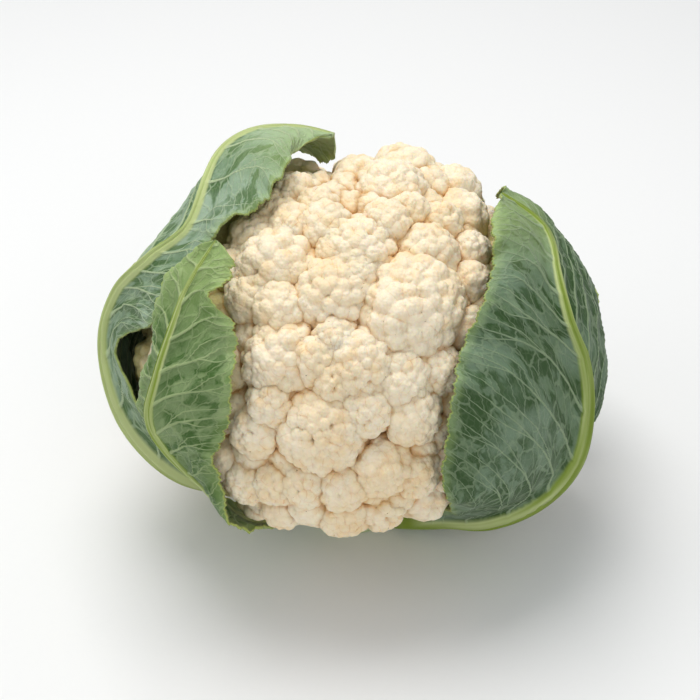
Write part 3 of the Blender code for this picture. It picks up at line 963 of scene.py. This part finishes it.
def build_heart(ceiling, finish):
    """The branched body behind the florets, with a neck that runs down to the stem."""
    ball, faces = cut_ball(HEART_CUTS)
    reach = sunken_reach(ball) - HEART_DEPTH
    azimuth = np.arctan2(ball[:, 0], -ball[:, 1])
    down = -ball[:, 2]
    branches = np.abs(np.sin(azimuth * 7.5 + 0.8 * np.sin(azimuth * 3)))
    level = np.sqrt(np.maximum(0, 1 - ball[:, 2] ** 2))
    reach = reach + HEART_BRANCH * smooth(-0.15, -0.55, ball[:, 2]) * branches * level
    reach = np.minimum(reach, ceiling.over(ball) - HEART_CLEAR)
    neck = (HEAD_HEIGHT - NECK_FOOT) / np.maximum(down, 0.3)
    reach = reach + (neck - reach) * smooth(0.72, 0.90, down)
    points = ball * reach[:, None]
    points[:, 2] = np.maximum(points[:, 2], NECK_FOOT - HEAD_HEIGHT)
    body = mesh_piece("curd_heart", points + HEAD_CENTRE, faces)
    belongs(body, "curd", "curd", finish)


# Leaves

def curve(rows, share):
    """A smooth line through rows of azimuth, axis distance and height, at any shares of its way."""
    rows = np.array(rows, float)
    ends = np.vstack((2 * rows[0] - rows[1], rows, 2 * rows[-1] - rows[-2]))
    place = np.asarray(share) * (len(rows) - 1)
    k = np.clip(place.astype(int), 0, len(rows) - 2)
    t = (place - k)[..., None]
    a, b, c, d = ends[k], ends[k + 1], ends[k + 2], ends[k + 3]
    line = b + 0.5 * t * (c - a + t * (2 * a - 5 * b + 4 * c - d + t * (3 * (b - c) + d - a)))
    azimuth = np.radians(line[..., 0])
    return np.stack((line[..., 1] * np.sin(azimuth), -line[..., 1] * np.cos(azimuth), line[..., 2]), -1)


class Leaf:
    """The smooth shape of one leaf: share runs from base to tip, and step from edge -1 to edge 1.

    wave and swell are how far its edge ruffles and its blade bulges, a notch is an edge, a place, half
    its length and its depth, spacing is between side veins, ribs are half widths of the midrib, and
    blunt is the share where its tip begins to round.
    """

    def __init__(self, midrib, front, rear, wave=2.0, swell=2.0, notches=(), spacing=17,
                 ribs=(6.0, 3.4, 0.8), blunt=0.95, seed=1):
        self.midrib, self.front, self.rear = midrib, front, rear
        self.wave, self.swell, self.notches = wave, swell, notches
        self.spacing, self.ribs, self.blunt, self.seed = spacing, ribs, blunt, seed
        shares = np.linspace(0, 1, 80)
        line = curve(midrib, shares)
        self.length = np.linalg.norm(np.diff(line, axis=0), axis=1).sum()
        self.widths = {
            side: np.linalg.norm(curve(edge, shares) - line, axis=1)
            for side, edge in ((-1, front), (1, rear))
        }
        self.shares = shares

    def width(self, share, step):
        left = np.interp(share, self.shares, self.widths[-1])
        right = np.interp(share, self.shares, self.widths[1])
        return np.where(step < 0, left, right)

    def order(self, share, step):
        """Numbers the side veins: whole numbers are veins, and it grows from base to tip."""
        edge = np.abs(step)
        rises = VEIN_CLIMB * self.width(share, step) / self.length * edge ** VEIN_CURVE
        place = (share - VEIN_START - rises) * self.length
        slow = np.sin(place / 21 + self.seed * 2 + 3 * (step > 0))
        uneven = 0.24 * slow + 0.09 * np.sin(place / 9 + edge * 6)
        return place / self.spacing + uneven + VEIN_STAGGER * (step > 0)

    def reach(self, share, side):
        """How far the edge goes, as a share of the half width: notched, scalloped, toothed, rounded."""
        reach = np.ones_like(share)
        for notch_side, place, half_length, depth in self.notches:
            cut = np.maximum(0, 1 - np.abs(share - place) / half_length)
            reach = np.where(side == notch_side, reach * (1 - depth * smooth(0, 1, cut)), reach)
        millimetres = share * self.length
        width = np.maximum(self.width(share, side), 4)
        scallop = np.abs(np.sin(millimetres * math.pi / 8.5 + 0.7 * np.sin(millimetres / 9) + self.seed))
        uneven = 0.3 * np.sin(millimetres / 5 + side)
        tooth = np.abs(((millimetres / 2.3 + uneven) % 1) - 0.5) * 2
        free = smooth(0.16, 0.26, share)
        reach = reach + free * ((scallop - 0.6) * 1.1 + (tooth - 0.5) * 0.85) / width
        tip = np.clip((share - self.blunt) / (1 - self.blunt), 0, 1)
        return reach * np.sqrt(np.maximum(1 - TIP_TAPER * tip ** 2, 0))

    def surface(self, share, step):
        """Points of the blade's middle, swung round the head's centre from the midrib to the edge."""
        start = curve(self.midrib, share)
        side = np.where(step < 0, -1, 1)
        end = np.where((step < 0)[:, None], curve(self.front, share), curve(self.rear, share))
        t = np.abs(step) * self.reach(share, side)
        from_middle, to_middle = start - HEAD_CENTRE, end - HEAD_CENTRE
        near, far = np.linalg.norm(from_middle, axis=1), np.linalg.norm(to_middle, axis=1)
        first, last = from_middle / near[:, None], to_middle / far[:, None]
        angle = np.maximum(np.arccos(np.clip((first * last).sum(1), -1, 1)), 1e-4)
        way = np.sin((1 - t) * angle)[:, None] * first + np.sin(t * angle)[:, None] * last
        way /= np.sin(angle)[:, None]
        ruffle = self.wave * t ** 3 * np.sin(share * RUFFLE + side) * np.minimum(1, 3 * share)
        bulge = self.swell * SWELL_SCALE * t ** 2 * np.maximum(0, 1 - t) * np.minimum(1, 2 * share)
        distance = near + (far - near) * t + ruffle + bulge
        return HEAD_CENTRE + way * distance[:, None]

    def forward(self, share, step):
        """From just behind each point to just ahead of it, and how many vein numbers that passes."""
        ahead = np.minimum(share + 0.5 / self.length, 1)
        behind = np.maximum(share - 0.5 / self.length, 0)
        passed = self.order(ahead, step) - self.order(behind, step)
        return self.surface(ahead, step) - self.surface(behind, step), passed

    def lift(self, share, step):
        """Which way the outer face rises, and whether the grid's own normals point inwards."""
        right, left = np.clip(step + 0.02, -1, 1), np.clip(step - 0.02, -1, 1)
        across = self.surface(share, right) - self.surface(share, left)
        normal = unit(np.cross(self.forward(share, step)[0], across))
        radial = unit(self.surface(share, step) - HEAD_CENTRE)
        side = np.sign(np.median((normal * radial).sum(1)))
        return unit(normal * side * 0.6 + radial * 0.4), side < 0

    def pitch(self, share, step):
        """How many millimetres one vein number is, measured square to the veins."""
        forward, passed = self.forward(share, step)
        per_length = passed / np.linalg.norm(forward, axis=1)
        inside = np.sign(step) * np.clip(np.abs(step), 0.04, 0.98)
        out, back = inside * 1.02, inside * 0.98
        nudged = self.order(share, out) - self.order(share, back)
        moved = self.surface(share, out) - self.surface(share, back)
        per_width = nudged / np.maximum(np.linalg.norm(moved, axis=1), 1e-6)
        return 1 / np.maximum(np.hypot(per_length, per_width), 0.02)


def vein_lines(order, outward, pitch):
    """Height of the side veins and forks, and the distance to the nearest, in millimetres."""
    number = np.round(order)
    off = order - number
    begin = fork_begin(np.sin(number * FORK_WAVE))
    half, fork = vein_half(1 - outward), fork_half(1 - outward)
    nearest = np.abs(off) * pitch
    height = half * np.exp(-1.1 * (nearest / np.maximum(half, 0.45)) ** 2)
    for offset, later, reach in VEIN_FORKS:
        bend = smooth(0, reach, outward - begin - later) * offset
        apart = np.where(outward > begin + later, np.abs(off - bend) * pitch, 99)
        height = np.maximum(height, fork * np.exp(-1.1 * (apart / 0.45) ** 2))
        nearest = np.minimum(nearest, apart)
    return height, nearest


def leaf_relief(leaf, share, step, order, pitch):
    """Height of the outer face, height of both, and the place across the midrib, 1 at its edge."""
    edge = np.abs(step)
    vein_height, nearest = vein_lines(order, edge, pitch)
    broad, waist, fine = leaf.ribs
    rib_half = np.interp(share, (0, 0.30, 0.55, 1), (broad, waist * 1.25, waist, fine))
    rib_high = np.interp(share, (0, 0.45, 1), RIB_HEIGHT) * broad / RIB_STANDARD
    profile = edge * leaf.width(share, step) / rib_half
    rib = np.clip(1 - profile ** 2, 0, 1) ** 0.6
    ridges = 0.16 * np.cos(profile * math.pi * 3.4) * np.clip(1.3 - profile, 0, 1)
    foot = np.exp(-(np.maximum(profile - 0.8, 0) / 0.55) ** 2)
    fillet = 0.22 * foot * (profile > 0.5) * (1 - rib)
    midrib = rib_high * (rib * 0.86 + ridges * (0.4 + rib) + fillet)
    blade = smooth(1.0, 2.2, profile)
    grown = smooth(0.08, 0.22, share)
    quilt = -QUILT_DEPTH * (1 - np.exp(-(nearest / QUILT_WIDTH) ** 2)) * blade * grown
    high, size = CRINKLE
    crinkle = high * drift(leaf.surface(share, step), size, leaf.seed) * blade
    wave = share * leaf.length / 3.4 + 1.3 * np.sin(share * 23)
    frill = FRILL * smooth(0.72, 1.0, edge) * np.sin(wave) * blade
    bent = quilt + crinkle + frill
    return midrib + vein_height * (1 - rib) * grown + bent, bent, profile


def build_leaf(name, node, slot, leaf, rows, columns):
    """A grid shaped to the leaf and thickened, its rib, veins, quilting and toothed rim raised in it."""
    deselect()
    bpy.ops.mesh.primitive_grid_add(x_subdivisions=rows, y_subdivisions=columns, size=2)
    piece = bpy.context.object
    piece.name = piece.data.name = name
    flat = points_of(piece)
    share = (flat[:, 0] + 1) / 2
    edge = 0.6 * np.abs(flat[:, 1]) + 0.4 * np.abs(flat[:, 1]) ** 2  # rows are closer at the midrib
    step = np.sign(flat[:, 1]) * edge
    order, pitch = leaf.order(share, step), leaf.pitch(share, step)
    raised, bent, profile = leaf_relief(leaf, share, step, order, pitch)
    middle = leaf.surface(share, step)
    lift, inside_out = leaf.lift(share, step)
    outer = middle + lift * (BLADE / 2 + raised)[:, None]
    inner = middle + lift * (-BLADE / 2 + bent)[:, None]
    outer[:, 2] = np.maximum(outer[:, 2], OFF_FLOOR)

    thick = piece.modifiers.new("thick", "SOLIDIFY")
    thick.thickness = BLADE * MM
    thick.offset = -1
    thick.material_offset = 1
    thick.material_offset_rim = 2
    select_only(piece)
    bpy.ops.object.modifier_apply(modifier="thick")
    reshape(piece, np.concatenate((outer, inner)))
    if inside_out:
        piece.data.flip_normals()
    piece.data.shade_smooth()
    width = leaf.width(share, step)
    margin = np.where(share > 0.15, 1 - np.clip((1 - edge) * width / MARGIN_WIDTH, 0, 1), 0)
    told = {
        "order": order, "outward": edge, "pitch": pitch, "share": share, "across": step * width,
        "lane": np.sign(step) * profile, "rib": np.clip(3.3 - 3 * profile, 0, 1), "margin": margin,
    }
    for key, values in told.items():
        tell(piece, key, np.concatenate((values, values)))
    finishes = (FINISH[slot + face] for face in ("_outer", "_inner", "_rim"))
    belongs(piece, node, slot, *finishes)


def far_leaf(azimuth, distance, tip, spread, seed):
    """A leaf of the far side: a stalk, then a blade that keeps its distance from the head's centre."""
    line = list(FAR_STALK)
    blade_rows = len(FAR_WIDTH) - len(FAR_STALK)
    for k in range(blade_rows):
        elevation = math.radians(FAR_LOWEST + (tip - FAR_LOWEST) * k / (blade_rows - 1))
        line.append((distance * math.cos(elevation), HEAD_HEIGHT + distance * math.sin(elevation)))
    midrib, front, rear = [], [], []
    for k, (out, height) in enumerate(line):
        wide = FAR_WIDTH[k] * (STALK_WIDTH if k == 0 else spread)
        rise = 1 if k == 0 else FAR_EDGE_RISE * FAR_WIDTH[k]
        midrib.append((azimuth, out, height))
        front.append((azimuth - wide, out, height + rise))
        rear.append((azimuth + wide, out, height + rise))
    return Leaf(midrib, front, rear, seed=seed)


# Stem

def build_stem(finish):
    """A turned stump with a slightly hollow cut face and uneven bark."""
    deselect()
    bpy.ops.mesh.primitive_cylinder_add(vertices=160, radius=STEM_RADIUS * MM, depth=STEM_HEIGHT * MM,
                                        location=(0, 0, STEM_HEIGHT / 2 * MM))
    piece = bpy.context.object
    piece.name = piece.data.name = "stem_stump"
    bpy.ops.object.transform_apply(location=True, rotation=True, scale=True)
    bpy.ops.object.mode_set(mode="EDIT")
    bpy.ops.mesh.select_all(action="DESELECT")
    bpy.ops.object.mode_set(mode="OBJECT")
    for face in piece.data.polygons:
        face.select = abs(face.normal.z) > 0.9
    bpy.ops.object.mode_set(mode="EDIT")
    for _ in range(STEM_RINGS):
        bpy.ops.mesh.inset(thickness=STEM_RING_WIDTH * MM)
    bpy.ops.mesh.select_all(action="DESELECT")
    bpy.ops.object.mode_set(mode="OBJECT")
    for edge in piece.data.edges:
        a, b = (piece.data.vertices[i].co for i in edge.vertices)
        edge.select = abs(a.z - b.z) > STEM_HEIGHT * 0.75 * MM
    bpy.ops.object.mode_set(mode="EDIT")
    bpy.ops.mesh.subdivide(number_cuts=STEM_CUTS)
    bpy.ops.object.mode_set(mode="OBJECT")
    points = points_of(piece) / MM
    flat = np.linalg.norm(points[:, :2], axis=1)
    turn = np.arctan2(points[:, 0], -points[:, 1])
    high = points[:, 2]
    bark = 0.35 * np.sin(turn * 5 + 1) * smooth(0, 3, high) + 0.25 * drift(points, 7, 5)
    factor = (np.interp(high, STEM_HEIGHTS, STEM_RADII) + bark) / STEM_RADIUS
    dish = DISH * (1 - (flat / STEM_RADIUS) ** 2) * (high < 0.5)
    points[:, :2] *= factor[:, None]
    points[:, 2] += dish
    reshape(piece, points)
    piece.data.shade_smooth()
    select_only(piece)
    bpy.ops.object.shade_smooth_by_angle(angle=math.radians(40))
    belongs(piece, "stem", "stem", finish)


# Camera, floor and light

TARGET = Vector((0, 0, 0.079))
LOOK_DOWN = math.radians(35)
CAMERA_DISTANCE = 0.75
SENSOR = 36.0
PICTURE_WIDTH = 700  # pixels
PIXEL_SIZE = 0.42 * MM  # at the target
# Area lights: name, place, size, power, colour
LIGHTS = (
    ("overhead", (-0.15, 0.25, 1.1), 0.7, 8.5, (1.0, 0.985, 0.96)),
    ("front", (0.5, -1.1, 0.75), 0.9, 3.2, (1.0, 1.0, 1.0)),
    ("left", (-1.2, -0.3, 0.6), 0.8, 2.2, (0.95, 0.98, 1.0)),
)
SKY = (0.95, 0.98, 1.0)
SKY_STRENGTH = 0.5
PAPER = ((0.86, 0.86, 0.86), (0.82, 0.82, 0.82))


def place_camera():
    camera = bpy.data.objects.new("camera", bpy.data.cameras.new("camera"))
    bpy.context.collection.objects.link(camera)
    back = Vector((0, -math.cos(LOOK_DOWN), math.sin(LOOK_DOWN)))
    camera.location = TARGET + back * CAMERA_DISTANCE
    camera.rotation_euler = (-back).to_track_quat("-Z", "Y").to_euler()
    camera.data.sensor_width = SENSOR
    camera.data.lens = SENSOR * CAMERA_DISTANCE / (PICTURE_WIDTH * PIXEL_SIZE)
    bpy.context.scene.camera = camera


def area_light(name, place, size, power, colour):
    light = bpy.data.lights.new(name, "AREA")
    light.size = size
    light.energy = power
    light.color = colour
    holder = bpy.data.objects.new(name, light)
    holder.location = place
    holder.rotation_euler = (TARGET - Vector(place)).to_track_quat("-Z", "Y").to_euler()
    bpy.context.collection.objects.link(holder)


def light_stage():
    """A pale paper floor, an even sky and soft lights."""
    deselect()
    bpy.ops.mesh.primitive_plane_add(size=6, location=(0, 0, 0))
    floor = bpy.context.object
    floor.name = "floor"
    bpy.ops.object.transform_apply(location=True, rotation=True, scale=True)
    made, start, place, shader = new_finish("floor_paper")
    grain = start.noise(place, 3, 2)
    put(shader, start, Base_Color=start.mix(grain * 0.3, *PAPER), Roughness=0.9)
    floor.data.materials.append(made)
    floor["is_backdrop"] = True
    world = bpy.data.worlds.new("studio")
    bpy.context.scene.world = world
    world.use_nodes = True
    background = world.node_tree.nodes["Background"]
    background.inputs["Color"].default_value = (*SKY, 1)
    background.inputs["Strength"].default_value = SKY_STRENGTH
    for light in LIGHTS:
        area_light(*light)
    bpy.context.scene.view_settings.view_transform = "Standard"


FINISH = {}
for kind in LEAF_TONES:
    FINISH[kind + "_outer"] = leaf_finish(kind)
    FINISH[kind + "_inner"] = leaf_inner_finish(kind)
    FINISH[kind + "_rim"] = leaf_rim_finish(kind)

place_camera()
light_stage()
build_stem(stem_finish())
build_curd(curd_finish(), heart_finish())
left_back = Leaf(
    LEFT_BACK_MIDRIB, LEFT_BACK_FRONT, LEFT_BACK_REAR, swell=0.5, notches=((-1, 0.385, 0.12, 0.66),),
    spacing=18, ribs=(9.5, 4.8, 0.9), blunt=0.985, seed=1,
)
left_front = Leaf(
    LEFT_FRONT_MIDRIB, LEFT_FRONT_FRONT, LEFT_FRONT_REAR, wave=1.5,
    notches=((-1, 0.87, 0.05, 0.35), (1, 0.46, 0.20, 0.62)),
    spacing=15, ribs=(5.5, 2.6, 0.7), blunt=0.97, seed=2,
)
right_front = Leaf(
    RIGHT_FRONT_MIDRIB, RIGHT_FRONT_FRONT, RIGHT_FRONT_REAR, swell=2.5,
    spacing=19, ribs=(13.0, 3.8, 0.8), seed=3,
)
build_leaf("blade_left_back", "leaf_left_back", "leaf", left_back, 330, 96)
build_leaf("blade_left_front", "leaf_left_front", "leaf_young", left_front, 280, 80)
build_leaf("blade_right_front", "leaf_right_front", "leaf_dark", right_front, 320, 104)
for name, slot, stand, seed in (
    ("right_back", "leaf_dark", RIGHT_BACK, 4),
    ("back_right", "leaf", BACK_RIGHT, 5),
    ("back_left", "leaf", BACK_LEFT, 6),
):
    build_leaf("blade_" + name, "leaf_" + name, slot, far_leaf(*stand, seed=seed), 160, 64)

faces = sum(len(piece.data.polygons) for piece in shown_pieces() if piece.type == "MESH")
print("faces", faces)
